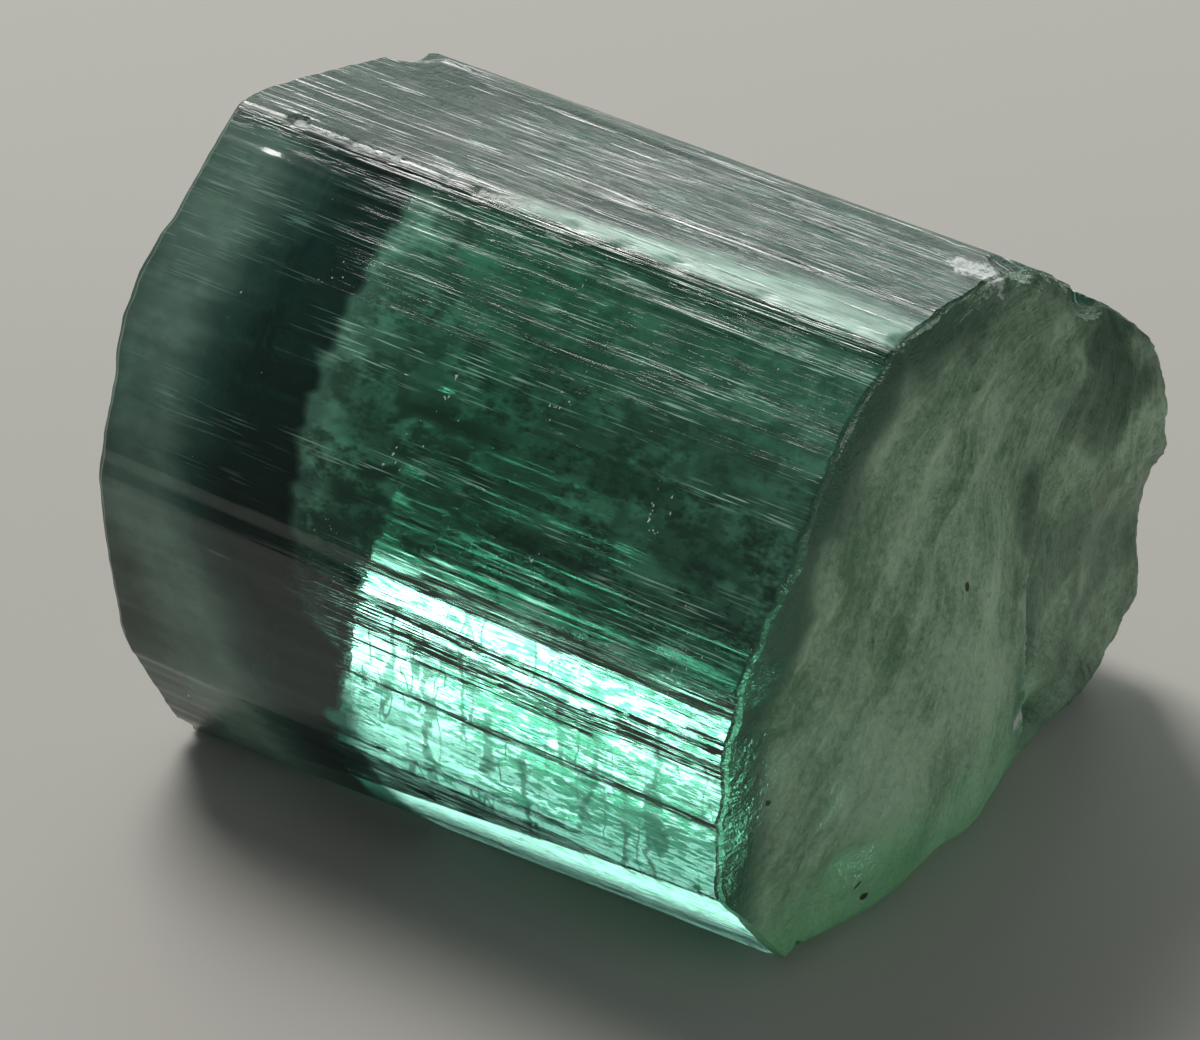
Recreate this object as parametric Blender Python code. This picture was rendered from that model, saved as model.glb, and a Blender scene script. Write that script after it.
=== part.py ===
"""Tourmaline crystal: a stubby prism with lengthwise striae, broken across at one end.

Metres, +Z up. The crystal's long axis runs along X and it lies on one prism face.
The origin is at the middle of the underside of its bounding box. Sizes are in
millimetres up to the point where a mesh is made.
"""

import math
import random

import bmesh
import bpy
from mathutils import Matrix, Vector, noise

MM = 0.001

# Driving dimensions, in millimetres.
LENGTH = 15.60  # from the left end to the front rim of the break
HEIGHT = 11.58  # across the prism, from the resting face to the top face
OVERRUN = 3.0  # how far the uncut prism runs past both ends
LEFT_SLANT = 2.05  # how far the left end leans in from top to bottom
BEVEL_FOOT = (-6.25, -5.40)  # y of the lower bevel's foot at the left end and the break

# Corners of the prism's cross-section as (y, z), clockwise seen from the broken end,
# with the number of striae on the face that follows and how proud they stand.
SECTION = (
    ((BEVEL_FOOT[0], 0.00), 6, 0.030),  # lower bevel
    ((-7.40, 2.65), 13, 0.045),  # front face, lowest third
    ((-7.05, 6.40), 12, 0.050),  # front face, middle third
    ((-5.25, 9.10), 15, 0.055),  # front face, upper third
    ((-1.30, HEIGHT), 14, 0.055),  # top face
    ((2.55, HEIGHT), 12, 0.050),  # back face, upper third
    ((5.75, 8.90), 11, 0.050),  # back face, middle third
    ((7.35, 5.40), 10, 0.045),  # back face, lowest third
    ((7.40, 1.90), 6, 0.030),  # back bevel
    ((5.90, 0.00), 0, 0.000),  # resting face, flat
)

FACE_BOW = 0.08  # how far each striated face bows out, as a share of its width

# The break, which is a dome with ridges fanning out from where it started.
BREAK_CELL = 0.36  # spacing of its relief points
BREAK_SOURCE = (5.3, 10.7)  # (y, z) where it started
BREAK_WEAR = (0.24, 0.55)  # how deep and how wide its rim is worn
RIDGE_SETS = ((4.0, 0.08, 0.20, 3.1), (11.0, 0.05, 0.09, 7.7))  # per radian, heights, seed
STEP_HEIGHT = 0.50  # of the steep step that runs down the break
STEP_MIDDLE = (1.75, 4.5)  # (y, z) of the step's most forward point
BREAK_FORMS = (
    (1.40, (-1.2, 3.6), (4.5, 4.5)),  # broad dome, low and towards the front
    (1.20, (6.4, 8.0), (2.9, 3.5)),  # shoulder, high at the back
    (-0.35, (-2.2, 11.6), (2.6, 1.8)),  # hollow under the top front edge
    (-0.75, (3.0, 0.75), (0.42, 0.40)),  # deep nick at the foot of the step
    (-0.35, (-4.2, 1.8), (0.35, 0.40)),  # pit
    (-0.30, (-0.9, 0.0), (0.50, 0.45)),  # nick in the lower rim
)

# The left end, which slants and has lost its back top corner.
LEFT_CELL = 0.70
LEFT_WEAR = (0.12, 0.40)
LEFT_START = -0.30  # its reach past the nominal end at the top
LEFT_CORNER = (-0.6, 0.42, 1.7)  # y where the lost corner starts, its slope and its most
LEFT_FORMS = (
    (-0.30, (-4.6, 8.8), (3.0, 3.0)),  # swelling high on the front
    (-0.20, (-7.0, 3.8), (2.5, 2.5)),  # swelling low on the front
)

LEDGE_RAMP = 0.9  # half the length over which a ledge on a prism face runs out


def smooth_step(low, high, value):
    """0 on low's side, 1 on high's side, and smooth between."""
    t = min(max((value - low) / (high - low), 0.0), 1.0)
    return t * t * (3.0 - 2.0 * t)


def hump(y, z, centre, reach):
    """A smooth hump of height 1 at centre, falling off over reach."""
    return math.exp(-(((y - centre[0]) / reach[0]) ** 2) - ((z - centre[1]) / reach[1]) ** 2)


def forms(y, z, humps):
    """The sum of the humps and hollows in a list of (height, centre, reach)."""
    return sum(height * hump(y, z, centre, reach) for height, centre, reach in humps)


def wear(y, z, depth, width):
    """How much is worn off the rim at (y, z), most at the prism's faces."""
    inside = max(depth_inside(y, z), -0.4)
    return depth * max(0.0, 1.0 - inside / width) ** 2


def rough(y, z, size, seed):
    """Smooth noise between about -1 and 1, with lumps of the given size."""
    return noise.noise(Vector((y / size, z / size, seed)))


def depth_inside(y, z):
    """Distance from (y, z) in to the nearest face of the prism, negative outside it."""
    depths = []
    for here, after in zip(SECTION, SECTION[1:] + SECTION[:1]):
        (ya, za), (yb, zb) = here[0], after[0]
        run = math.hypot(yb - ya, zb - za)
        depths.append(((y - ya) * (zb - za) - (z - za) * (yb - ya)) / run)
    return min(depths)


def fan_ridges(y, z, count, seed):
    """Sharp-crested ridges that fan out from the break's source, between 0 and 1."""
    across, down = BREAK_SOURCE[0] - y, BREAK_SOURCE[1] - z
    reach = math.hypot(across, down)
    turn = math.atan2(across, down) + 0.035 * reach
    turn += 0.22 * rough(y, z, 4.5, seed) + 0.05 * rough(y, z, 1.4, seed)
    phase = (turn * count) % 1.0
    strength = 0.5 + 0.9 * rough(y, z, 2.2, seed + 9.0)
    return strength * (1.0 - abs(2.0 * phase - 1.0)) ** 1.6


def past_step(y, z):
    """Distance past the steep step on the break, which bows towards the front."""
    middle_y, middle_z = STEP_MIDDLE
    bend = 0.112 if z > middle_z else 0.035
    return y - middle_y - bend * (z - middle_z) ** 2


def break_relief(y, z):
    """X of the broken end: a dome and a shoulder with ridges, a step, pits and a worn rim."""
    x = LENGTH + 0.15 + forms(y, z, BREAK_FORMS)
    past = past_step(y, z)
    fade = smooth_step(-0.5, 1.5, z) * smooth_step(9.0, 6.0, z)
    fade *= smooth_step(-0.12, 0.22, past) * math.exp(-max(past, 0.0) / 2.6)
    x -= STEP_HEIGHT * fade
    reach = math.hypot(y - BREAK_SOURCE[0], z - BREAK_SOURCE[1])
    grown = smooth_step(0.5, 5.0, reach)
    for count, near, far, seed in RIDGE_SETS:
        x += (near + (far - near) * grown) * fan_ridges(y, z, count, seed)
    x += 0.16 * rough(y, z, 2.6, 11.0) + 0.05 * rough(y, z, 0.8, 5.0)
    x += 0.20 * rough(y, z, 0.75, 23.0) * hump(y, z, (3.7, 9.9), (1.7, 1.5))
    return x - wear(y, z, *BREAK_WEAR)


def left_relief(y, z):
    """X of the left end: a slanting, gently uneven face with its back corner chipped."""
    x = LEFT_SLANT * (1.0 - z / HEIGHT) + LEFT_START + forms(y, z, LEFT_FORMS)
    start, slope, most = LEFT_CORNER
    x += min(slope * max(0.0, y - start), most) * smooth_step(6.0, 11.0, z)
    x += 0.12 * rough(y, z, 3.0, 41.0) + 0.05 * rough(y, z, 0.9, 47.0)
    return x + wear(y, z, *LEFT_WEAR)


def section_outline(chance):
    """The cross-section's points, with each face cut into flat striae of uneven widths."""
    points = []
    for here, after in zip(SECTION, SECTION[1:] + SECTION[:1]):
        corner, striae, proud = here
        start, end = Vector(corner), Vector(after[0])
        outward = Vector((start.y - end.y, end.x - start.x)).normalized()
        width = (end - start).length
        points.append(start)
        places = sorted(chance.uniform(0.04, 0.96) for _ in range(striae))
        for place in places:
            bow = FACE_BOW * width * place * (1.0 - place)
            ease = min(1.0, 8.0 * min(place, 1.0 - place))
            lift = bow + ease * proud * chance.uniform(-1.0, 1.0)
            points.append(start.lerp(end, place) + lift * outward)
    return points


def prism(collection, chance):
    """The uncut prism: its outline as a filled 2D curve, extruded along X."""
    outline = bpy.data.curves.new("prism outline", "CURVE")
    outline.dimensions = "2D"
    outline.fill_mode = "BOTH"
    outline.extrude = (LENGTH + 2.0 * OVERRUN) / 2.0 * MM
    points = section_outline(chance)
    spline = outline.splines.new("POLY")
    spline.points.add(len(points) - 1)
    for slot, point in zip(spline.points, points):
        slot.co = (point.x * MM, point.y * MM, 0.0, 1.0)
    spline.use_cyclic_u = True
    guide = bpy.data.objects.new("prism outline", outline)
    along_x = Matrix(((0, 0, 1), (1, 0, 0), (0, 1, 0))).to_4x4()
    guide.matrix_world = Matrix.Translation((LENGTH / 2.0 * MM, 0, 0)) @ along_x
    collection.objects.link(guide)
    return mesh_from(guide, "tourmaline_crystal", collection)


def mesh_from(source, name, collection):
    """Replaces a curve or a modified object by the plain mesh that it makes."""
    bpy.context.view_layer.update()
    depsgraph = bpy.context.evaluated_depsgraph_get()
    mesh = bpy.data.meshes.new_from_object(source.evaluated_get(depsgraph))
    mesh.name = name
    work = bmesh.new()
    work.from_mesh(mesh)
    bmesh.ops.remove_doubles(work, verts=work.verts, dist=0.002 * MM)
    bmesh.ops.dissolve_degenerate(work, edges=work.edges, dist=0.001 * MM)
    work.to_mesh(mesh)
    work.free()
    mesh.transform(source.matrix_world)
    bpy.data.objects.remove(source)
    solid = bpy.data.objects.new(name, mesh)
    collection.objects.link(solid)
    return solid


def end_cutter(name, relief, cell, reach, collection):
    """A block whose inner side carries an end's relief, and which runs reach along X."""
    half = 9.5
    cells = int(round(2.0 * half / cell))
    work = bmesh.new()
    bmesh.ops.create_grid(work, x_segments=cells, y_segments=cells, size=half)
    for vert in work.verts:
        y, z = vert.co.x, vert.co.y + HEIGHT / 2.0
        vert.co = Vector((relief(y, z), y, z))
    sheet = work.faces[:]
    moved = bmesh.ops.extrude_face_region(work, geom=sheet, use_keep_orig=True)
    for item in moved["geom"]:
        if isinstance(item, bmesh.types.BMVert):
            item.co.x = reach
    bmesh.ops.recalc_face_normals(work, faces=work.faces)
    bmesh.ops.scale(work, vec=(MM, MM, MM), verts=work.verts)
    return finish_cutter(name, work, collection)


def bevel_cutter(collection):
    """A block that planes the lower bevel, wider towards the left end than at the break."""
    reach = 12.0
    foot_left = Vector((0.0, BEVEL_FOOT[0], 0.0))
    foot_right = Vector((LENGTH, BEVEL_FOOT[1], 0.0))
    ridge = Vector((LENGTH, *SECTION[1][0]))
    along = (foot_right - foot_left).normalized()
    outward = along.cross(ridge - foot_right).normalized()
    work = bmesh.new()
    bmesh.ops.create_cube(work, size=2.0 * reach)
    frame = Matrix((along, outward, along.cross(outward))).transposed()
    bmesh.ops.transform(work, verts=work.verts, matrix=frame.to_4x4())
    bmesh.ops.translate(work, verts=work.verts, vec=foot_right + reach * outward)
    bmesh.ops.scale(work, vec=(MM, MM, MM), verts=work.verts)
    return finish_cutter("lower bevel", work, collection)


def finish_cutter(name, work, collection):
    """Turns a bmesh into a cutter, which guides the build and isn't part of the crystal."""
    mesh = bpy.data.meshes.new(name)
    work.to_mesh(mesh)
    work.free()
    cutter = bpy.data.objects.new(name, mesh)
    cutter.hide_render = True
    cutter.display_type = "WIRE"
    collection.objects.link(cutter)
    return cutter


def chip_cutter(name, place, size, turn, chance, collection):
    """A lumpy ball that bites a small shell-shaped chip out of an edge."""
    work = bmesh.new()
    bmesh.ops.create_icosphere(work, subdivisions=2, radius=1.0)
    seed = chance.uniform(0.0, 50.0)
    for vert in work.verts:
        swell = 1.0 + 0.22 * noise.noise(vert.co * 1.7 + Vector((seed, 0.0, 0.0)))
        vert.co = Vector(vert.co[i] * size[i] * swell for i in range(3))
    bmesh.ops.rotate(work, verts=work.verts, matrix=Matrix.Rotation(turn, 3, "X"))
    bmesh.ops.translate(work, verts=work.verts, vec=place)
    bmesh.ops.scale(work, vec=(MM, MM, MM), verts=work.verts)
    return finish_cutter(name, work, collection)


def ledge_cutter(name, face, along, span, depth, collection):
    """A long thin block that lowers one strip of a prism face, which ends in a ledge."""
    here, after = SECTION[face], SECTION[(face + 1) % len(SECTION)]
    start, end = Vector(here[0]), Vector(after[0])
    outward = Vector((start.y - end.y, end.x - start.x)).normalized()
    side = (end - start).normalized()
    middle = start.lerp(end, (along[0] + along[1]) / 2.0)
    middle = middle + outward * (FACE_BOW / 4.0 * (end - start).length - depth + 0.5)
    width = (along[1] - along[0]) * (end - start).length
    work = bmesh.new()
    bmesh.ops.create_cube(work, size=1.0)
    for vert in work.verts:
        inset = LEDGE_RAMP if vert.co.z < 0.0 else -LEDGE_RAMP
        x = span[0] + inset if vert.co.x < 0.0 else span[1] - inset
        spot = middle + vert.co.y * width * side + vert.co.z * outward
        vert.co = Vector((x, spot.x, spot.y))
    bmesh.ops.recalc_face_normals(work, faces=work.faces)
    bmesh.ops.scale(work, vec=(MM, MM, MM), verts=work.verts)
    return finish_cutter(name, work, collection)


def cut(solid, cutter, solver="EXACT"):
    """Takes one cutter out of the solid with a Boolean."""
    boolean = solid.modifiers.new(cutter.name, "BOOLEAN")
    boolean.operation = "DIFFERENCE"
    boolean.solver = solver
    boolean.object = cutter


def rest_on_origin(solid):
    """Moves the mesh so that the origin is at the middle of its box's underside."""
    mesh = solid.data
    low = Vector(min(v.co[i] for v in mesh.vertices) for i in range(3))
    high = Vector(max(v.co[i] for v in mesh.vertices) for i in range(3))
    middle = (low + high) / 2.0
    mesh.transform(Matrix.Translation((-middle.x, -middle.y, -low.z)))


def tourmaline():
    """Clear blue-green crystal."""
    material = bpy.data.materials.new("tourmaline")
    material.use_nodes = True
    shader = material.node_tree.nodes["Principled BSDF"]
    shader.inputs["Base Color"].default_value = (0.10, 0.38, 0.30, 1.0)
    shader.inputs["Roughness"].default_value = 0.12
    shader.inputs["Metallic"].default_value = 0.0
    shader.inputs["Transmission Weight"].default_value = 1.0
    shader.inputs["IOR"].default_value = 1.62
    return material


# Chips out of the edges: place (x, y, z), size, and turn about X in degrees.
CHIPS = (
    ((15.9, -4.9, -0.10), (0.9, 0.9, 0.45), 10),
    ((16.7, 1.2, -0.25), (0.8, 1.1, 0.45), 0),
    ((15.8, 2.75, 11.75), (1.1, 0.8, 0.45), -15),
    ((16.3, 4.3, 10.25), (0.7, 0.55, 0.50), -40),
    ((15.6, -1.2, 11.80), (0.7, 0.45, 0.35), 20),
    ((0.9, 2.6, 11.85), (1.3, 0.9, 0.55), -20),
    ((-0.1, -3.2, 11.20), (0.45, 0.55, 0.35), 35),
    ((0.3, -7.45, 6.20), (0.40, 0.30, 0.60), 0),
    ((1.1, -7.75, 2.80), (0.45, 0.45, 0.40), 60),
    ((1.6, -6.45, 0.15), (0.55, 0.40, 0.30), 60),
    ((1.4, 7.6, 4.60), (0.80, 0.50, 1.10), 0),
)

# Strips of the prism faces that end in a ledge: face, across the face, along X, depth.
LEDGES = (
    (3, (0.55, 0.68), (5.2, 21.0), 0.07),
    (3, (0.20, 0.30), (-6.0, 6.4), 0.06),
    (4, (0.62, 0.86), (-6.0, 8.3), 0.08),
    (4, (0.20, 0.34), (7.1, 21.0), 0.07),
    (2, (0.40, 0.52), (9.3, 21.0), 0.06),
    (1, (0.66, 0.78), (-6.0, 9.9), 0.05),
    (5, (0.35, 0.55), (-6.0, 10.2), 0.08),
    (6, (0.30, 0.48), (6.0, 21.0), 0.08),
    (7, (0.45, 0.62), (-6.0, 7.5), 0.07),
)


def build():
    for old in list(bpy.data.objects):
        bpy.data.objects.remove(old)
    crystal_set = bpy.data.collections.new("tourmaline crystal")
    cutters = bpy.data.collections.new("cutters")
    bpy.context.scene.collection.children.link(crystal_set)
    bpy.context.scene.collection.children.link(cutters)
    chance = random.Random(31)

    crystal = prism(crystal_set, chance)
    past = LENGTH + OVERRUN + 1.0
    cut(crystal, bevel_cutter(cutters))
    cut(crystal, end_cutter("break", break_relief, BREAK_CELL, past, cutters))
    cut(crystal, end_cutter("left end", left_relief, LEFT_CELL, -OVERRUN - 1.0, cutters))
    for number, (face, along, span, depth) in enumerate(LEDGES):
        cut(crystal, ledge_cutter(f"ledge {number}", face, along, span, depth, cutters))
    for number, (place, size, turn) in enumerate(CHIPS):
        angle = math.radians(turn)
        chip = chip_cutter(f"chip {number}", place, size, angle, chance, cutters)
        cut(crystal, chip, "MANIFOLD")  # the exact solver loses the solid on these
    crystal = mesh_from(crystal, "tourmaline_crystal", crystal_set)
    rest_on_origin(crystal)
    crystal.data.materials.clear()
    crystal.data.materials.append(tourmaline())


build()
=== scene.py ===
"""Looks of the tourmaline crystal: striated clear prism, rough break, inner flaws."""

import math
import random

import bpy
import numpy as np
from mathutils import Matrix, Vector, noise


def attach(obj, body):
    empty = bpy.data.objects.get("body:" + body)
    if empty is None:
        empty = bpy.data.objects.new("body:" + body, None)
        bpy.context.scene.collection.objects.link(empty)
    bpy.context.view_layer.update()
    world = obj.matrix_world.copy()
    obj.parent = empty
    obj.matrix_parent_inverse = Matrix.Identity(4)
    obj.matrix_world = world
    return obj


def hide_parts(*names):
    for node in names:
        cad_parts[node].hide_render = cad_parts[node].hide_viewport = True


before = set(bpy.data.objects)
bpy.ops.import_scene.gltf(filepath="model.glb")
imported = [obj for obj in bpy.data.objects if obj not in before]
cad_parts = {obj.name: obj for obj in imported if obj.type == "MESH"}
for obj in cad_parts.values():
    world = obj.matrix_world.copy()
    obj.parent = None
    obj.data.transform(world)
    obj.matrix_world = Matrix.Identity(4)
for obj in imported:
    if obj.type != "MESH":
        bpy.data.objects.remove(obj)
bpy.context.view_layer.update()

MM = 0.001  # sizes and places below are in millimetres, with x from the left end
BODY = "root"
NODE = "tourmaline_crystal"

# ---------------------------------------------------------------- the prism's shape

LENGTH = 15.60  # from the left end to the front rim of the break
HEIGHT = 11.58
MIDDLE = (8.437, 0.028)  # (x, y) that lies over the origin
LEFT_SLANT = 2.05
BEVEL_FOOT = (-6.25, -5.40)  # its y at the left end and at the break
BEVEL_TOP = 2.75
SECTION = (  # corner (y, z); striae on the face that starts there; how proud they stand
    ((BEVEL_FOOT[0], 0.00), 6, 0.030),  # lower bevel
    ((-7.40, 2.65), 13, 0.045),  # front face, lowest third
    ((-7.05, 6.40), 12, 0.050),  # front face, middle third
    ((-5.25, 9.10), 15, 0.055),  # front face, upper third
    ((-1.30, HEIGHT), 14, 0.055),  # top face
    ((2.55, HEIGHT), 12, 0.050),  # back face, upper third
    ((5.75, 8.90), 11, 0.050),  # back face, middle third
    ((7.35, 5.40), 10, 0.045),  # back face, lowest third
    ((7.40, 1.50), 6, 0.030),  # back bevel
    ((5.90, 0.00), 0, 0.000),  # resting face, flat
)
FACE_BOW = 0.08
STRIAE_SHARE = 0.36  # of their height, because the fine striae stand on them
SECTION_SEED = 31
# How far each corner's rounding reaches along the faces beside it.
CORNER_SOFT = (0.0, 0.4, 0.9, 1.7, 0.22, 0.35, 1.2, 1.2, 0.6, 0.0)
FRONT_FACES = (1, 2, 3)
TOP_FACE = 4
RESTING_FACE = 9
FOOT_FRONT, TOP_FRONT, TOP_BACK = 0, 4, 5  # corners of the section

# The broken end. Places on it are (y, z).
BREAK_START = LENGTH + 0.15
BREAK_SOURCE = (5.3, 10.7)  # where its ridges fan out from
BREAK_WEAR = (0.24, 0.55)  # how far its rim is worn back, and over what width
RIDGE_SETS = (  # count, height near the source, height far from it, seed
    (4.0, 0.08, 0.20, 3.1),
    (11.0, 0.05, 0.09, 7.7),
)
FEATHER_SETS = (  # finer ridges: count, height, how much there is at the source, seed
    (26.0, 0.035, 0.4, 2.2),
    (61.0, 0.018, 0.3, 14.2),
)
FEATHER_LEVEL = 0.3  # of a ridge's height that lies on the break's own surface
BREAK_FORMS = (  # height, place, reach
    (1.40, (-1.2, 3.6), (4.5, 4.5)),  # broad dome, low and towards the front
    (1.20, (6.4, 8.0), (2.9, 3.5)),  # shoulder, high at the back
    (-0.35, (-2.2, 11.6), (2.6, 1.8)),  # hollow under the top front edge
    (-0.75, (3.0, 0.75), (0.42, 0.40)),  # deep nick at the foot of the step
    (-0.35, (-4.2, 1.8), (0.35, 0.40)),  # pit
    (-0.30, (-0.9, 0.0), (0.50, 0.45)),  # nick in the lower rim
)
STEP_HEIGHT = 0.50
STEP_MIDDLE = (1.75, 4.5)
STEP_BOWS = (0.112, 0.035)  # above its middle and below it
STEP_FADE = 2.6
# Along the step, where its painted shade and its shards lie.
STEP_LINE = ((2.56, 7.2), (1.78, 5.5), (1.78, 3.6), (2.28, 0.6))
# Noise on it: height, size of its lumps, seed.
BREAK_LUMPS = ((0.16, 2.6, 11.0), (0.05, 0.8, 5.0))
BREAK_GRAIN = ((0.022, 0.34, 51.0), (0.014, 0.15, 53.0))
SPLINTERED = (3.7, 9.9)  # the break is rougher about here, and over these reaches
SPLINTER_REACH, SPLINTER_GRAIN_REACH = (1.7, 1.5), (1.9, 1.6)
SPLINTER_LUMPS = ((0.20, 0.75, 23.0),)
SPLINTER_GRAIN = ((0.07, 0.30, 57.0),)

# The left end.
LEFT_START = -0.30
LEFT_WEAR = (0.12, 0.40)
LEFT_CORNER = (-0.6, 0.42, 1.7)  # lost corner: the y it starts at, its slope, its most
LEFT_FORMS = (  # height, place, reach
    (-0.30, (-4.6, 8.8), (3.0, 3.0)),  # swelling high on the front
    (-0.20, (-7.0, 3.8), (2.5, 2.5)),  # swelling low on the front
)
LEFT_LUMPS = ((0.12, 3.0, 41.0), (0.05, 0.9, 47.0), (0.03, 0.35, 61.0))

# Ledges, fine striae, chips and nicks.
LEDGES = (  # face, strip of its width, from and to along X, depth
    (3, (0.55, 0.68), (5.2, 21.0), 0.07),
    (3, (0.20, 0.30), (-6.0, 6.4), 0.06),
    (4, (0.62, 0.86), (-6.0, 8.3), 0.08),
    (4, (0.20, 0.34), (7.1, 21.0), 0.07),
    (2, (0.40, 0.52), (9.3, 21.0), 0.06),
    (1, (0.66, 0.78), (-6.0, 9.9), 0.05),
    (5, (0.35, 0.55), (-6.0, 10.2), 0.08),
    (6, (0.30, 0.48), (6.0, 21.0), 0.08),
    (7, (0.45, 0.62), (-6.0, 7.5), 0.07),
)
LEDGE_RAMP = 0.9  # half the length over which a strip drops
LEDGE_SIDE = 0.035  # half the width of its sides, as a share of the face
LEDGE_SHARE = 0.7  # of their depth on the solid
LEDGE_SHARE_FRONT = 0.35  # on face 3, where pale lines cross them
# Height, width, length and seed of the fine striae.
STRIP_LAYERS = ((0.010, 0.42, 7.0, 5), (0.007, 0.21, 3.4, 6))
FINE_LAYERS = ((0.006, 0.11, 5.0, 8), (0.012, 0.9, 9.0, 9))
TOP_CALM = 0.6  # they are lower on the top face
CHIPS = (  # place, reach along x, y and z
    ((15.9, -4.9, -0.10), (0.9, 0.9, 0.45)),
    ((16.7, 1.2, -0.25), (0.8, 1.1, 0.45)),
    ((15.8, 2.75, 11.75), (1.1, 0.8, 0.45)),
    ((16.3, 4.3, 10.25), (0.7, 0.55, 0.50)),
    ((15.6, -1.2, 11.80), (0.7, 0.45, 0.35)),
    ((0.9, 2.6, 11.85), (1.3, 0.9, 0.55)),
    ((-0.1, -3.2, 11.20), (0.45, 0.55, 0.35)),
    ((0.3, -7.45, 6.20), (0.40, 0.30, 0.60)),
    ((1.1, -7.75, 2.80), (0.45, 0.45, 0.40)),
    ((1.6, -6.45, 0.15), (0.55, 0.40, 0.30)),
    ((1.4, 7.6, 4.60), (0.80, 0.50, 1.10)),
)
NICKED_EDGES = (  # corner of the section, how many nicks, from and to along X
    (TOP_FRONT, 46, 0.5, 14.6),
    (TOP_BACK, 16, 0.8, 15.0),
    (FOOT_FRONT, 14, 2.2, 14.6),
)
NICK_SEED = 7

# ---------------------------------------------------------------- flaws, clouds, wear, and painted glints, light and shade

# painted glints: pale flaws under the front faces, painted near-white
SPECKS = (  # bright flaws under the front faces: place, size along and up, lean
    ((3.95, -3.5, 10.2), (0.30, 0.35), 0.0),
    ((2.30, -4.6, 9.40), (0.15, 0.20), 0.0),
    ((7.00, -5.8, 8.30), (0.40, 0.30), -0.5),
    ((7.45, -4.6, 9.50), (0.25, 0.60), 0.2),
    ((9.80, -4.2, 9.80), (0.40, 0.40), 0.0),
    ((10.6, -6.3, 7.60), (0.30, 0.40), 0.2),
    ((12.7, -5.3, 8.90), (0.40, 0.45), 0.3),
    ((13.4, -1.9, 11.2), (0.10, 0.45), 0.3),
    ((8.90, -2.0, 11.1), (0.10, 0.35), 0.2),
    ((14.2, -6.6, 7.00), (0.50, 0.60), 0.1),
    ((6.10, -6.9, 6.90), (0.60, 0.25), 0.0),
)
CRACKS = (  # dark cracks across the lower front faces: x, then perimeter from and to
    (5.6, 4.6, 6.4),
    (6.3, 2.0, 3.6),
    (6.9, 3.2, 5.6),
    (7.9, 4.2, 6.3),
    (8.9, 2.6, 5.4),
    (9.5, 4.0, 6.2),
    (10.3, 3.4, 5.0),
    (11.2, 2.2, 4.4),
    (12.1, 4.2, 6.0),
    (12.7, 3.0, 5.2),
    (13.5, 2.2, 3.8),
    (14.3, 2.4, 6.2),
)
CRACK_FAR = 9.0  # stands for no crack near
DARK_PATCH = ((7.5, 7.8), (2.2, 1.7))  # thickest inclusions on the front: (x, z), reach
DULL_SPOTS = (  # in the bright band low on the front: how dull, (x, z), reach
    (0.6, (10.8, 4.7), (2.0, 0.8)),
    (0.5, (13.6, 3.6), (1.8, 0.7)),
)
WISPS = (14.1, 1.1)  # upright wisps near the break: x, reach
FROST_SPOTS = (  # wider frosted wear on the top front edge: x, how much wider, reach
    (3.7, 0.10, 0.5),
    (6.5, 0.14, 0.35),
    (8.8, 0.06, 0.3),
    (13.1, 0.08, 0.6),
)
FROST_PATCH = ((15.0, 1.75), (0.9, 0.42))  # crumbly spot on the top: (x, y), reach

# On the break, at (y, z).
HACKLES = (  # pale lines: path, width, how much paler
    (((3.4, 10.1), (0.9, 9.7), (-0.9, 9.2), (-1.5, 8.6), (-2.6, 7.6)), 0.26, 0.16),
    (((1.0, 8.7), (0.4, 8.3), (-1.2, 7.6), (-2.4, 6.4)), 0.12, 0.22),
    (((4.3, 8.5), (3.4, 8.1), (2.9, 7.7), (1.8, 6.4)), 0.12, 0.20),
    (((5.6, 9.6), (4.6, 8.0), (3.6, 6.0)), 0.10, 0.15),
)
PITS = (  # dark specks: place, radius
    ((-0.80, 6.50), 0.085),
    ((-4.35, 2.00), 0.150),
    ((-6.55, 4.60), 0.060),
    ((-3.60, 0.75), 0.090),
    ((1.95, 1.70), 0.130),
)
PALE_SPOTS = (  # small crumbly spots: place, reach, strength
    ((1.5, 2.0), (0.30, 0.26), 1.0),
    ((-0.5, 1.4), (0.22, 0.45), 0.6),
)
TONE_FORMS = (  # where the break is paler or darker: by how much, place, reach
    (0.13, (-1.2, 4.4), (2.8, 3.2)),
    (-0.12, (-3.2, 9.0), (2.8, 1.8)),
)
DARK_SHOULDER = ((4.9, 8.2), (2.2, 3.2))  # place, reach
# painted light: a spot on the break painted lit green from inside
PAINTED_LIGHT_SPOT = ((-3.25, 1.6), (0.8, 0.9))  # lit green from inside: place, reach

# ---------------------------------------------------------------- colours and noises

# Colours across the growth zones, which lie parallel to the slanting left end. Each is
# (millimetres from the zones' start, colour that the surface lends to light through it,
# colour of the fine cloud within).
ZONES = (
    (0.0, (0.08, 0.13, 0.11), (0.12, 0.18, 0.15)),
    (0.8, (0.12, 0.20, 0.17), (0.29, 0.49, 0.40)),
    (1.9, (0.10, 0.18, 0.155), (0.34, 0.58, 0.47)),
    (2.8, (0.03, 0.10, 0.08), (0.08, 0.22, 0.175)),
    (3.7, (0.003, 0.025, 0.020), (0.010, 0.075, 0.060)),
    (5.2, (0.003, 0.025, 0.018), (0.010, 0.075, 0.055)),
    (5.4, (0.12, 0.40, 0.29), (0.35, 0.86, 0.61)),
    (6.6, (0.012, 0.09, 0.042), (0.15, 0.58, 0.35)),
    (9.0, (0.005, 0.055, 0.024), (0.06, 0.37, 0.19)),
    (16.0, (0.02, 0.13, 0.07), (0.15, 0.45, 0.29)),
)
ZONE_SLANT = 0.235
ZONE_START = -1.0
ZONE_SPAN = 20.0  # what the whole colour ramp stands for
BORDER = 5.4  # where the dark zone ends and the clear green one begins
SMOKY_TO_GREEN = (BORDER - 0.2, BORDER + 0.2)
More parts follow.
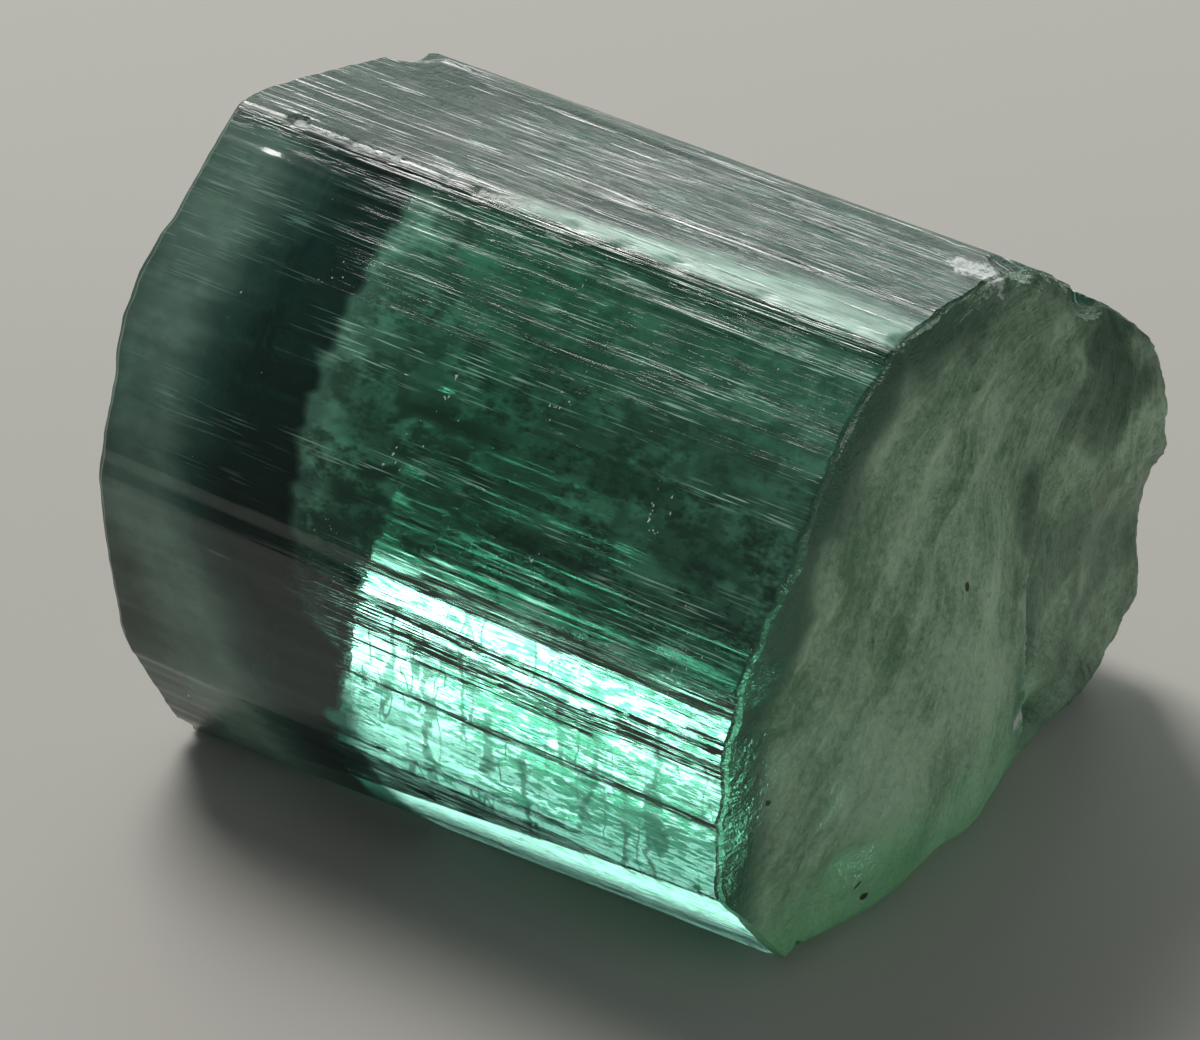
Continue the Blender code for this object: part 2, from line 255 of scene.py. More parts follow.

# Colours of the light that passes, apart from the zones' own.
# dark inclusions, and painted shade across the front's middle
INCLUSION_AND_SHADE = (0.003, 0.02, 0.010)
LINE_PASSING = (0.75, 1.0, 0.90)
BAND_BRIGHT = (0.95, 1.0, 0.98)
BAND_DARK = (0.05, 0.20, 0.12)
BARE = (0.88, 0.97, 0.93)
CRACK = (0.008, 0.05, 0.03)
# Colours of what lies in the cloud.
DEEP_CLOUD = (0.004, 0.030, 0.014)
DEEP_SHARE = 0.82
PALE_LINE = (0.46, 0.82, 0.64)
# painted glints
PAINTED_GLINT = (0.80, 0.95, 0.88)
# Colours of the break and of the worn edges, with painted light, painted shade and a painted
# glow among them.
BREAK_DARK = (0.12, 0.27, 0.13)
BREAK_PALE = (0.57, 0.80, 0.55)
# painted light: green from inside, low on the break
BREAK_PAINTED_LIGHT = (0.27, 0.82, 0.36)
# painted shade on the break: by its rim, under its top and along its step
BREAK_PAINTED_SHADE = (0.03, 0.12, 0.05)
RIM_GLASS = (0.12, 0.34, 0.20)
PIT = (0.015, 0.03, 0.015)
FROST = (0.72, 0.79, 0.75)
# painted light: a mint glow under the top front edge
PAINTED_GLOW = (0.54, 0.92, 0.74)
# painted shade on the top: its back edge and a film over its left
PAINTED_TOP_SHADE = (0.035, 0.10, 0.065)

CRYSTAL_IOR = 1.62
ABSORPTION = (0.18, 0.74, 0.60)
ABSORPTION_DENSITY = 85.0
SIDE_NOISES = {  # stretch along and across, place in the noise, scale, detail, roughness
    "striae": (0.03, 1.0, 0.0, 9.0, 2.0, 0.65),
    "hair": (0.04, 1.0, 5.0, 24.0, 0.0, 0.5),
    "runs": (0.22, 1.2, 9.0, 1.6, 1.0, 0.6),
    "dashes": (0.20, 1.0, 17.0, 12.0, 2.0, 0.6),
    "murk": (0.8, 1.3, 31.0, 1.5, 3.0, 0.75),
    "bend": (1.3, 0.4, 13.0, 0.9, 2.0, 0.7),
    "flecks": (1.0, 0.6, 43.0, 11.0, 1.0, 0.5),
}
FEATHER_NOISE = (14.0, 0.35, 3.0, 3.5, 3.0, 0.7)  # the same, around the fan and out from it
GRIT_NOISE = (6.0, 3.0, 0.75)  # scale, detail, roughness
LEFT_ACROSS = 60.0  # keeps the left end's noises apart from the sides'

# ---------------------------------------------------------------- the fine mesh

COLUMN_STEP = 0.083  # millimetres between points around the section
RESTING_COLUMNS = 26
SIDE_RINGS = 116
BREAK_RINGS = 62
LEFT_RINGS = 26
RING_SPREAD = (0.12, 0.76)  # part of a cosine that draws the rings together at the ends
RING_POWER = 1.15  # draws the rings of an end towards its rim
FIRST_RING = 0.998  # so near the rim that the sides' marks end there
RIM_SOFT = 0.05  # rounding of both rims
SECTION_CENTRE = (0.2, 5.2)
SHARP_ANGLE = 28.0  # degrees
TABLE_SIZE = 4096  # random values that the fast noises pick from

# What each column of the mesh holds: its face, its place across it, its point (y, z), the
# way out from there, the distance around the section, and the face's width.
FACE, PLACE, POINT, OUTWARD, AROUND, WIDTH = 0, 1, slice(2, 4), slice(4, 6), 6, 7

# Marks that the finish reads from the mesh, three to an attribute.
MARKS = (
    ("across", "along", "striae"),
    ("zone", "haze", "tint dark"),
    ("dark", "foot", "bare"),
    ("bundle", "line gain", "specks"),
    ("crack gain", "crack x", "crack in"),
    ("bright gain", "murky", "shade gain"),
    ("frost", "glow", "rind"),
    ("broken", "left", "gloss"),
    ("rim", "lit", "tone"),
    ("fan", "reach", "pit y"),
    ("pit z", "pit size", "line haze"),
)


# ---------------------------------------------------------------- relief of the two ends


def smooth_step(low, high, value):
    """0 on low's side, 1 on high's side, and smooth between."""
    t = np.clip((value - low) / (high - low), 0.0, 1.0)
    return t * t * (3.0 - 2.0 * t)


def band(a, b, c, d, value):
    """Rises from 0 to 1 between a and b, and falls back to 0 between c and d."""
    return smooth_step(a, b, value) * smooth_step(d, c, value)


def soft_span(low, high, edge, value):
    """1 from low to high, and 0 outside, with edges that are soft by edge each way."""
    return band(low - edge, low + edge, high - edge, high + edge, value)


def bell(away, width):
    """1 at 0, falling off smoothly over width."""
    return np.exp(-((away / width) ** 2))


def hump(y, z, centre, reach):
    """A smooth hump of height 1 at centre, falling off over reach."""
    return np.exp(-(((y - centre[0]) / reach[0]) ** 2) - ((z - centre[1]) / reach[1]) ** 2)


def forms(y, z, humps):
    """Sum of humps and hollows, each given as its height, centre and reach."""
    return sum(height * hump(y, z, centre, reach) for height, centre, reach in humps)


def rough(y, z, size, seed):
    """Smooth noise between about -1 and 1 at each point, with lumps of the given size."""
    pairs = zip(np.ravel(y) / size, np.ravel(z) / size)
    values = [noise.noise(Vector((a, b, seed))) for a, b in pairs]
    return np.array(values).reshape(np.shape(y))


def lumps(y, z, layers):
    """Noises added up, each given as its height, the size of its lumps and its seed."""
    return sum(height * rough(y, z, size, seed) for height, size, seed in layers)


def face_ends(face):
    """The two corners of a face."""
    return SECTION[face][0], SECTION[(face + 1) % len(SECTION)][0]


def depth_inside(y, z, faces=range(len(SECTION))):
    """Distance in from the nearest of the prism's faces, negative outside it."""
    depths = []
    for face in faces:
        (ya, za), (yb, zb) = face_ends(face)
        run = math.hypot(yb - ya, zb - za)
        depths.append(((y - ya) * (zb - za) - (z - za) * (yb - ya)) / run)
    return np.min(depths, axis=0)


def wear(y, z, depth, width):
    """How far an end's rim is worn back."""
    inside = np.maximum(depth_inside(y, z), -0.4)
    return depth * np.maximum(0.0, 1.0 - inside / width) ** 2


def from_source(y, z):
    """Distance from the break's source."""
    return np.hypot(y - BREAK_SOURCE[0], z - BREAK_SOURCE[1])


def fan_turn(y, z, seed):
    """The bent angle about the break's source that its ridges follow."""
    turn = np.arctan2(BREAK_SOURCE[0] - y, BREAK_SOURCE[1] - z) + 0.035 * from_source(y, z)
    return turn + 0.22 * rough(y, z, 4.5, seed) + 0.05 * rough(y, z, 1.4, seed)


def fan_ridges(y, z, count, seed):
    """Sharp-crested ridges that fan out from the break's source, between 0 and 1."""
    phase = (fan_turn(y, z, seed) * count) % 1.0
    strength = 0.5 + 0.9 * rough(y, z, 2.2, seed + 9.0)
    return strength * (1.0 - np.abs(2.0 * phase - 1.0)) ** 1.6


def past_step(y, z):
    """Distance past the steep step on the break, whose ends bow towards the back."""
    middle_y, middle_z = STEP_MIDDLE
    bow = np.where(z > middle_z, *STEP_BOWS)
    return y - middle_y - bow * (z - middle_z) ** 2


def break_base(y, z):
    """X of the broken end's main relief, as the solid has it."""
    x = BREAK_START + forms(y, z, BREAK_FORMS)
    past = past_step(y, z)
    fade = band(-0.5, 1.5, 6.0, 9.0, z)
    fade = fade * smooth_step(-0.12, 0.22, past) * np.exp(-np.maximum(past, 0.0) / STEP_FADE)
    x = x - STEP_HEIGHT * fade
    grown = smooth_step(0.5, 5.0, from_source(y, z))
    for count, near, far, seed in RIDGE_SETS:
        x = x + (near + (far - near) * grown) * fan_ridges(y, z, count, seed)
    x = x + lumps(y, z, BREAK_LUMPS)
    x = x + lumps(y, z, SPLINTER_LUMPS) * hump(y, z, SPLINTERED, SPLINTER_REACH)
    return x - wear(y, z, *BREAK_WEAR)


def break_relief(y, z):
    """X of the broken end, with the fine feathering and grain that the solid leaves out."""
    reach = from_source(y, z)
    grown = smooth_step(0.5, 6.0, reach)
    fine = lumps(y, z, BREAK_GRAIN)
    for count, height, near, seed in FEATHER_SETS:
        fine = fine + height * (near + grown) * (fan_ridges(y, z, count, seed) - FEATHER_LEVEL)
    ripple = np.sin(reach * 7.5 + 2.5 * rough(y, z, 3.0, 31.0))
    fine = fine + 0.008 * ripple * smooth_step(0.0, 0.5, rough(y, z, 3.5, 37.0))
    grain = lumps(y, z, SPLINTER_GRAIN) * hump(y, z, SPLINTERED, SPLINTER_GRAIN_REACH)
    return break_base(y, z) + fine + grain


def left_relief(y, z):
    """X of the left end: a slanting, gently uneven face with its back corner chipped."""
    x = LEFT_SLANT * (1.0 - z / HEIGHT) + LEFT_START + forms(y, z, LEFT_FORMS)
    start, slope, most = LEFT_CORNER
    x = x + np.minimum(slope * np.maximum(0.0, y - start), most) * smooth_step(6.0, 11.0, z)
    return x + lumps(y, z, LEFT_LUMPS) + wear(y, z, *LEFT_WEAR)


# ---------------------------------------------------------------- striae on the faces


def table_noise(u, v, seed):
    """Fast smooth noise between -1 and 1 over two arrays."""
    table = np.random.RandomState(seed).uniform(-1.0, 1.0, TABLE_SIZE)
    iu, iv = np.floor(u).astype(int), np.floor(v).astype(int)
    fu, fv = u - iu, v - iv
    fu, fv = fu * fu * (3 - 2 * fu), fv * fv * (3 - 2 * fv)

    def at(a, b):  # the odd factors spread the cells over the table
        return table[(a * 157 + b * 1019) % TABLE_SIZE]

    low = at(iu, iv) * (1 - fu) + at(iu + 1, iv) * fu
    high = at(iu, iv + 1) * (1 - fu) + at(iu + 1, iv + 1) * fu
    return low * (1 - fv) + high * fv


def line_noise(u, seed):
    """The same over one array."""
    return table_noise(u, np.zeros(np.shape(u)), seed)


def stepped_strips(u, x, width, length, seed):
    """Flat strips along X, each broken into lengths of their own small heights."""
    table = np.random.RandomState(seed).uniform(0.0, 1.0, TABLE_SIZE)
    wander = 0.5 * width * table_noise(u / (3.0 * width), x / 40.0, seed + 1)
    strip = np.floor((u + wander) / width).astype(int)
    start = table[(strip * 331) % TABLE_SIZE]
    stretch = 0.5 + table[(strip * 577 + 9) % TABLE_SIZE]
    along = x / (length * stretch) + start * 9.0
    cell = np.floor(along).astype(int)
    part = along - cell
    here = table[(strip * 733 + cell * 89) % TABLE_SIZE]
    after = table[(strip * 733 + (cell + 1) * 89) % TABLE_SIZE]
    blend = smooth_step(0.93, 1.0, part)
    return 2.0 * (here * (1 - blend) + after * blend) - 1.0


def section_columns():
    """The columns of the mesh, one a row, around the whole section."""
    chance = random.Random(SECTION_SEED)
    rows = []
    around = 0.0
    for number, (_, striae, proud) in enumerate(SECTION):
        start, end = map(Vector, face_ends(number))
        width = (end - start).length
        outward = Vector((start.y - end.y, end.x - start.x)).normalized()
        places, lifts = [0.0], [0.0]
        for place in sorted(chance.uniform(0.04, 0.96) for _ in range(striae)):
            ease = min(1.0, 8.0 * min(place, 1.0 - place))
            lift = FACE_BOW * width * place * (1.0 - place)
            places.append(place)
            lifts.append(lift + STRIAE_SHARE * ease * proud * chance.uniform(-1.0, 1.0))
        places.append(1.0)
        lifts.append(0.0)
        columns = int(round(width / COLUMN_STEP)) if striae else RESTING_COLUMNS
        for column in range(columns):
            place = column / columns
            lift = float(np.interp(place, places, lifts))
            point = start.lerp(end, place) + lift * outward
            rows.append((number, place, *point, *outward, around + place * width, width))
        around += width
    return np.array(rows)


def soften_corners(columns, flat):
    """Rounds the prism's corners: most are worn or grown almost round."""
    count = len(SECTION)
    normals = []
    for face in range(count):
        (ya, za), (yb, zb) = face_ends(face)
        run = math.hypot(yb - ya, zb - za)
        normals.append(np.array([(za - zb) / run, (yb - ya) / run]))
    for number, (point, row) in enumerate(zip(flat, columns)):
        face, place, width = int(row[FACE]), row[PLACE], row[WIDTH]
        ends = ((face, place, face - 1), (face + 1, 1.0 - place, face + 1))
        for corner, away, other in ends:
            reach = CORNER_SOFT[corner % count]
            gap = reach - away * width
            if gap <= 0.0:
                continue
            own, next_one = normals[face], normals[other % count]
            half_turn = 0.5 * math.acos(min(1.0, float(own @ next_one)))
            way = own + next_one * gap / reach
            drop = math.tan(half_turn) * gap**2 / (2 * reach)
            flat[number] = point - drop * way / np.linalg.norm(way)


def fine_lift(columns, x):
    """How proud the fine striae stand at each ring (rows) and column."""
    around = np.broadcast_to(columns[:, AROUND], x.shape)
    place = columns[:, PLACE]
    ease = np.minimum(1.0, 10.0 * np.minimum(place, 1.0 - place))
    lift = np.zeros(x.shape)
    for height, width, length, seed in STRIP_LAYERS:
        lift = lift + height * stepped_strips(around, x, width, length, seed)
    for height, width, length, seed in FINE_LAYERS:
        lift = lift + height * table_noise(around / width, x / length, seed)
    calm = np.where(columns[:, FACE] == TOP_FACE, TOP_CALM, 1.0)
    return lift * ease * (columns[:, FACE] != RESTING_FACE) * calm


def lower_ledges(columns, x, point_lift):
    """Lowers the strips that end in a ledge, as they are on the solid."""
    for face, across, span, depth in LEDGES:
        top = FACE_BOW / 4.0 * math.dist(*face_ends(face)) - depth
        inside = soft_span(*across, LEDGE_SIDE, columns[:, PLACE])
        inside = inside * (columns[:, FACE] == face)
        ramp = soft_span(*span, LEDGE_RAMP, x)
        share = LEDGE_SHARE_FRONT if face == 3 else LEDGE_SHARE
        drop = np.maximum(0.0, point_lift - top) * share
        point_lift = point_lift - drop * ramp * inside
    return point_lift


def bite_chips(points, chips):
    """Pushes points that lie in a chip's ball in to its far side. Returns what was bitten."""
    bitten = np.zeros(points.shape[:-1])
    core = np.array([LENGTH / 2.0, 0.0, HEIGHT / 2.0])
    for number, (place, size) in enumerate(chips):
        centre, size = np.array(place), np.array(size)
        near = (points - centre) / size
        inside = (near**2).sum(-1) < 1.0
        if not inside.any():
            continue
        start = near[inside]
        aim = core - centre
        way = aim / size / np.linalg.norm(aim / size)
        along = (start * way).sum(-1)
        push = -along + np.sqrt(np.maximum(0.0, along**2 - (start**2).sum(-1) + 1.0))
        sx, sy, sz = start.T
        uneven = 1.0 + 0.16 * table_noise(sx * 3 + number, sy * 3 + sz * 2, 77)
        uneven = uneven + 0.08 * table_noise(sx * 9 + number, sy * 7 - sz * 5, 78)
        points[inside] = centre + (start + (push * uneven)[:, None] * way) * size
        bitten[inside] = np.maximum(bitten[inside], np.minimum(1.0, push * 1.5))
    return bitten


def edge_nicks(chance):
    """Many small nicks along the worn edges."""
    nicks = []
    for corner, count, first, last in NICKED_EDGES:
        y, z = SECTION[corner][0]
        for _ in range(count):
            size = 0.08 + 0.14 * chance.random() ** 2.5
            x = chance.uniform(first, last)
            y_off = chance.uniform(-0.06, 0.06)
            z_off = 0.4 * size + chance.uniform(-0.05, 0.05)
            reach = (size * chance.uniform(1.0, 2.2), size, size * 0.8)
            nicks.append(((x, y + y_off, z + z_off), reach))
    return nicks


# ---------------------------------------------------------------- the closed surface


def crystal_points():
    """All rings of the crystal's surface as one (ring, column, 3) array, left to right."""
    columns = section_columns()
    flat_y, flat_z = columns[:, POINT].T
    left_x = left_relief(flat_y, flat_z)
    right_x = break_relief(flat_y, flat_z)
    t = np.linspace(0.0, 1.0, SIDE_RINGS)
    t = 0.5 - 0.5 * np.cos(np.pi * (RING_SPREAD[0] + RING_SPREAD[1] * t))
    t = (t - t[0]) / (t[-1] - t[0])
    x = left_x + t[:, None] * (right_x - left_x)

    corners = np.array([face_ends(face) for face in columns[:, FACE].astype(int)])
    starts, ends = corners[:, 0], corners[:, 1]
    outward = columns[:, OUTWARD]
    chord = starts + columns[:, PLACE, None] * (ends - starts)
    lift = ((columns[:, POINT] - chord) * outward).sum(-1)
    soften_corners(columns, chord)
    lift = lower_ledges(columns, x, np.broadcast_to(lift, x.shape) + fine_lift(columns, x))
    short = np.clip(RIM_SOFT - np.minimum(x - left_x, right_x - x), 0.0, RIM_SOFT)
    lift = lift - (RIM_SOFT - np.sqrt(RIM_SOFT**2 - short**2))  # rounds both rims
    sides = np.empty(x.shape + (3,))
    sides[..., 0] = x
    sides[..., 1:] = chord + lift[..., None] * outward
    plane_bevel(sides)
    sides[..., 2] = np.maximum(sides[..., 2], 0.0)

    rings = [sides]
    for end, relief, count in ((0, left_relief, LEFT_RINGS), (-1, break_relief, BREAK_RINGS)):
        shrink = 1.0 - (np.arange(1, count) / count) ** RING_POWER
        shrink[0] = FIRST_RING
        middle = np.array(SECTION_CENTRE)
        cap = np.empty((count - 1, len(columns), 3))
        cap[..., 1:] = middle + shrink[:, None, None] * (sides[end, :, 1:] - middle)
        cap[..., 0] = relief(cap[..., 1], cap[..., 2])
        rings.append(cap)
    points = np.concatenate([rings[1][::-1], rings[0], rings[2]])
    return points, columns


def plane_bevel(points):
    """Planes the lower bevel so that it narrows towards the break."""
    foot_left = np.array([0.0, BEVEL_FOOT[0], 0.0])
    foot_right = np.array([LENGTH, BEVEL_FOOT[1], 0.0])
    ridge = np.array([LENGTH, *SECTION[1][0]])
    along = foot_right - foot_left
    outward = np.cross(along, ridge - foot_right)
    outward = outward / np.linalg.norm(outward)
    if outward[1] > 0:
        outward = -outward
    proud = np.maximum(0.0, (points - foot_right) @ outward)
    level = outward * (0.0, 1.0, 1.0)
    level = level / (level @ outward)
    low = points[..., 2] < BEVEL_TOP
    points -= (proud * low)[..., None] * level


# ---------------------------------------------------------------- marks for the finish


def layered(u, v, seed, layers=4):
    """Noise between about 0 and 1 with finer noise on it."""
    total, share = 0.0, 0.5
    for layer in range(layers):
        total = total + share * table_noise(u * 2**layer, v * 2**layer, seed + layer)
        share *= 0.55
    return 0.5 + 0.55 * total


def growth_zone(x, z, along, across, left):
    """Depth into the growth zones, whose borders are uneven."""
    zone = x - (HEIGHT - z) * ZONE_SLANT - ZONE_START
    zone = zone - 0.9 * smooth_step(5.8, 4.2, z) * ~left
    zone = zone + 0.55 * (layered(along / 3.0, across / 0.35, 61) - 0.5) * ~left
    return zone + 0.7 * (layered(along / 6.0, across / 3.0, 66) - 0.5)


def clouds(x, along, across):
    """Fine cloud: soft patches, and upright wisps near the break."""
    soft = smooth_step(0.38, 0.72, layered(along / 2.6, across / 1.1, 71, 5))
    upright = smooth_step(0.42, 0.66, layered(x / 0.22, across / 2.2, 74, 3))
    return np.maximum(soft, upright * bell(x - WISPS[0], WISPS[1]))


def inclusions(x, z, across, zone, front):
    """Dark inclusions, thickest in one patch on the front."""
    blots = layered(x / 0.75, across / 0.50, 77, 5)
    core = hump(x, z, *DARK_PATCH) * front
    dark = smooth_step(0.40, 0.54, blots) * np.minimum(1.0, 1.8 * core)
    dark = np.maximum(dark, 0.7 * smooth_step(0.54, 0.66, blots) * front)
    return dark * smooth_step(BORDER + 0.2, BORDER + 0.9, zone)


def pale_lines(x, z, left):
    """Where bundles of pale lines run: below the top edge, and above the bright band."""
    low = band(4.6, 5.6, 6.8, 8.2, z)
    low = low * (0.35 + 0.65 * smooth_step(6.0, 10.0, x))
    lines = np.maximum(0.6 * smooth_step(8.7, 9.9, z), low)
    lines = np.maximum(0.45 * band(6.6, 7.6, 8.0, 8.8, z), lines)
    return (0.08 + 0.92 * lines) * ~left


def duller_band(x, y, z):
    """Where the bright band low on the front is duller, and below 0 where it is brighter."""
    duller = forms(x, z, DULL_SPOTS) + 0.45 * smooth_step(7.0, 12.0, x)
    return duller - 0.60 * smooth_step(2.8, 2.0, z) * (y < 0.0)


def crack_marks(x, across):
    """Distance along X from the nearest crack, and whether the crack reaches there."""
    nearest = np.full(x.shape, CRACK_FAR)
    reached = np.zeros(x.shape)
    for spot, low, high in CRACKS:
        closer = np.abs(x - spot) < np.abs(nearest)
        nearest = np.where(closer, x - spot, nearest)
        within = band(low - 0.2, low + 0.2, high - 0.3, high + 0.3, across)
        reached = np.where(closer, within, reached)
    return nearest, reached


def side_marks(points, columns):
    """What the finish reads at each point of the sides and the left end."""
    x, y, z = points[..., 0], points[..., 1], points[..., 2]
    left = np.broadcast_to((np.arange(len(x)) < LEFT_RINGS - 1)[:, None], x.shape)
    across = np.where(left, LEFT_ACROSS + y, columns[:, AROUND])
    along = np.where(left, z, x)
    resting = (columns[:, FACE] == RESTING_FACE) & ~left
    zone = growth_zone(x, z, along, across, left)

    # Parts of the surface, from 0 to 1.
    front = smooth_step(0.0, -3.0, y)
    rear = smooth_step(1.0, 4.0, y) * smooth_step(8.5, 7.0, z)
    upper = smooth_step(11.45, 11.2, z) * (y < 2.0)
    middle = band(5.9, 6.6, 9.0, 10.4, z) * front
    below_top = smooth_step(11.5, 11.3, z)
    clear = smooth_step(4.8, 5.6, zone)
    grey = smooth_step(3.8, 1.8, zone)
    smoky = smooth_step(5.6, 3.6, zone)
    foot = smooth_step(6.9, 6.0, z) * smooth_step(-4.0, -6.0, y) * smooth_step(5.0, 5.6, zone)
    body = smooth_step(*SMOKY_TO_GREEN, zone) * (1.0 - foot) * below_top * (0.8 + 0.2 * middle)

    striae = 1.0 - np.maximum(0.75 * np.maximum(foot, rear), upper * (0.66 + 0.30 * smoky))
    striae = striae * (1.0 - 0.62 * middle)
    seen = np.where(left, 1.0, np.where(resting, 0.1, 1.0 - 0.85 * rear))
    cloud = clouds(x, along, across)
    haze = 0.21 + 0.26 * grey - 0.16 * clear + 0.52 * body + 0.12 * cloud
    haze = haze * (1.0 - 0.85 * foot) * (0.2 + 0.8 * below_top)
    dark = inclusions(x, z, across, zone, front)
    # Painted shade: the light passing the front's middle is darkened in a band.
    dim = 0.81 * band(5.9, 6.5, 8.2, 9.2, z) * front * smooth_step(5.6, 6.2, zone)
    lines = pale_lines(x, z, left)
    by_break = smooth_step(9.0, 12.5, x) * band(4.6, 5.6, 7.0, 8.2, z)
    cracked = smooth_step(0.44, 0.56, layered(along / 1.1, across / 1.3, 95, 3))
    crack_x, crack_in = crack_marks(x, across)
    murky = smooth_step(0.34, 0.64, layered(along / 0.9, across / 0.6, 91, 3))
    return {
        "across": across,
        "along": along,
        "striae": np.where(resting | left, 0.0, striae),
        "zone": zone / ZONE_SPAN,
        "haze": haze * seen,
        "tint dark": 0.9 * np.maximum(dark, dim),
        "dark": dark,
        "foot": foot,
        "bare": 1.0 - seen,
        "bundle": 0.22 * lines,
        "line gain": smooth_step(0.0, 0.5, lines) * (0.4 + 0.6 * clear) * seen,
        "line haze": 0.12 + 0.36 * smooth_step(6.5, 8.5, z) + 0.42 * by_break,
        # painted glints
        "specks": 0.16 * painted_glint_specks(points),
        "crack gain": 0.92 * cracked * clear * seen,
        "crack x": crack_x,
        "crack in": 0.92 * crack_in * clear * seen,
        "bright gain": 1.0 - duller_band(x, y, z),
        "murky": 0.3 + 0.7 * murky,
        "shade gain": 0.25 + 0.75 * body,
        "rind": rear_painted_shade(points, columns),
        "left": left * 1.0,
        "gloss": smooth_step(11.3, 11.5, z),
    }


def past_corner(columns, corner, x):
    """Distance around the section past one of its corners."""
    start = columns[columns[:, FACE] == corner][0, AROUND]
    return np.broadcast_to(columns[:, AROUND] - start, x.shape)


def edge_frost(points, columns):
    """Frosted wear along the top front edge, and a painted glow under it where light gathers.
    """
    x = points[..., 0]
    away = past_corner(columns, TOP_FRONT, x)
    width = 0.03 + 0.03 * line_noise(x / 0.3, 21) + 0.03 * line_noise(x / 1.3, 22)
    for place, more, reach in FROST_SPOTS:
        width = width + more * bell(x - place, reach)
    line = smooth_step(1.5, 0.6, np.abs(away - 0.03) / np.maximum(width, 0.02))
    line = line * (0.55 + 0.7 * table_noise(x / 0.12, away / 0.08, 23))
    patch = hump(x, points[..., 1], *FROST_PATCH) + 0.25 * table_noise(x / 0.2, away / 0.2, 24)
    line = np.maximum(line, 0.6 * smooth_step(0.35, 0.7, patch))
    # Painted light: a mint glow under the edge, broadest towards the break.
    broad = 0.45 + 0.95 * smooth_step(7.0, 14.0, x)
    glow = smooth_step(1.0, 0.15, away / broad) * (away > -0.05) * smooth_step(6.2, 7.0, x)
    glow = glow * (0.75 + 0.35 * table_noise(x / 0.6, away / 0.12, 25))
    side = (points[..., 2] > 10.9) & (x < 17.0)
    return np.clip(line, 0.0, 1.0) * side, np.clip(glow, 0.0, 1.0) * side


def painted_glint_specks(points):
    """Small bright flaws just under the front faces, painted near-white as painted glints."""
    x, y, z = points[..., 0], points[..., 1], points[..., 2]
    total = np.zeros(x.shape)
    for place, size, lean in SPECKS:
        across = x - place[0] + lean * (z - place[2])
        away = (across / size[0]) ** 2 + ((z - place[2]) / size[1]) ** 2
        total = np.maximum(total, np.exp(-away) * (np.abs(y - place[1]) < 1.5))
    return total


def rear_painted_shade(points, columns):
    """Painted shade: a dull dark strip along the top's back edge, with a thinner film over the
    top's left.
    """
    x = points[..., 0]
    away = past_corner(columns, TOP_BACK, x)
    edge = 0.50 + 0.20 * line_noise(x / 3.0, 27)
    edge = edge + 0.6 * (layered(x / 2.5, away / 0.10, 28) - 0.5)
    strip = band(-edge - 0.12, -edge + 0.12, 0.5, 0.9, away)
    film = 0.14 + 0.78 * smooth_step(10.0, 2.0, x + 1.5 * table_noise(x / 2.0, away / 0.2, 29))
    top_width = SECTION[TOP_BACK][0][0] - SECTION[TOP_FRONT][0][0]
    on_top = (away < 0.0) & (away > -top_width) & (points[..., 2] > 11.3)
    return np.maximum(strip, film * on_top)


def near_path(y, z, path):
    """Distance from each point to a path of straight runs."""
    gaps = []
    for (ya, za), (yb, zb) in zip(path, path[1:]):
        run = (yb - ya) ** 2 + (zb - za) ** 2
        t = np.clip(((y - ya) * (yb - ya) + (z - za) * (zb - za)) / run, 0.0, 1.0)
        gaps.append(np.hypot(y - ya - t * (yb - ya), z - za - t * (zb - za)))
    return np.min(gaps, axis=0)


